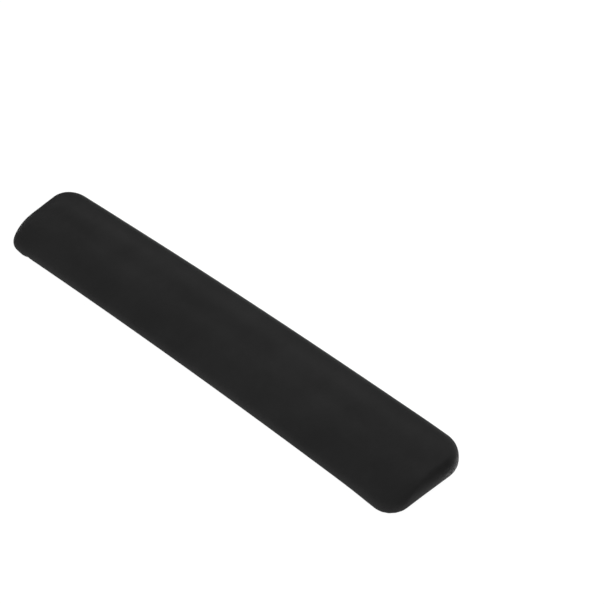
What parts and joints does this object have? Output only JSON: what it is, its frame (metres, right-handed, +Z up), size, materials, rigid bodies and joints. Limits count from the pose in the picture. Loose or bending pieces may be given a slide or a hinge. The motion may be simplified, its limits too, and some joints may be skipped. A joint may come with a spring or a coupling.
{
  "type": "keyboard wrist rest",
  "caption": "Long low wrist rest with rounded corners: a foam cushion in a bonded knit cover, on a thin non-slip rubber base.",
  "frame": {"origin": "centre of the rest's box, on the desk that it stands on", "axes": "+X along the rest to the user's right, +Y from the user towards the keyboard, +Z up"},
  "size_m": [0.4372, 0.0818, 0.021],
  "materials": {
    "knit_cover": "matte",
    "hot_melt_film": "satin",
    "memory_foam": "matte",
    "double_sided_tape": "satin",
    "adhesive_sheet": "satin",
    "base_rubber": "matte"
  },
  "bodies": {
    "root": {"cover": "knit_cover", "cover_bond_film": "hot_melt_film", "memory_foam_cushion": "memory_foam", "margin_tape": "double_sided_tape", "base_adhesive_sheet": "adhesive_sheet", "non_slip_base": "base_rubber"}
  },
  "joints": []
}
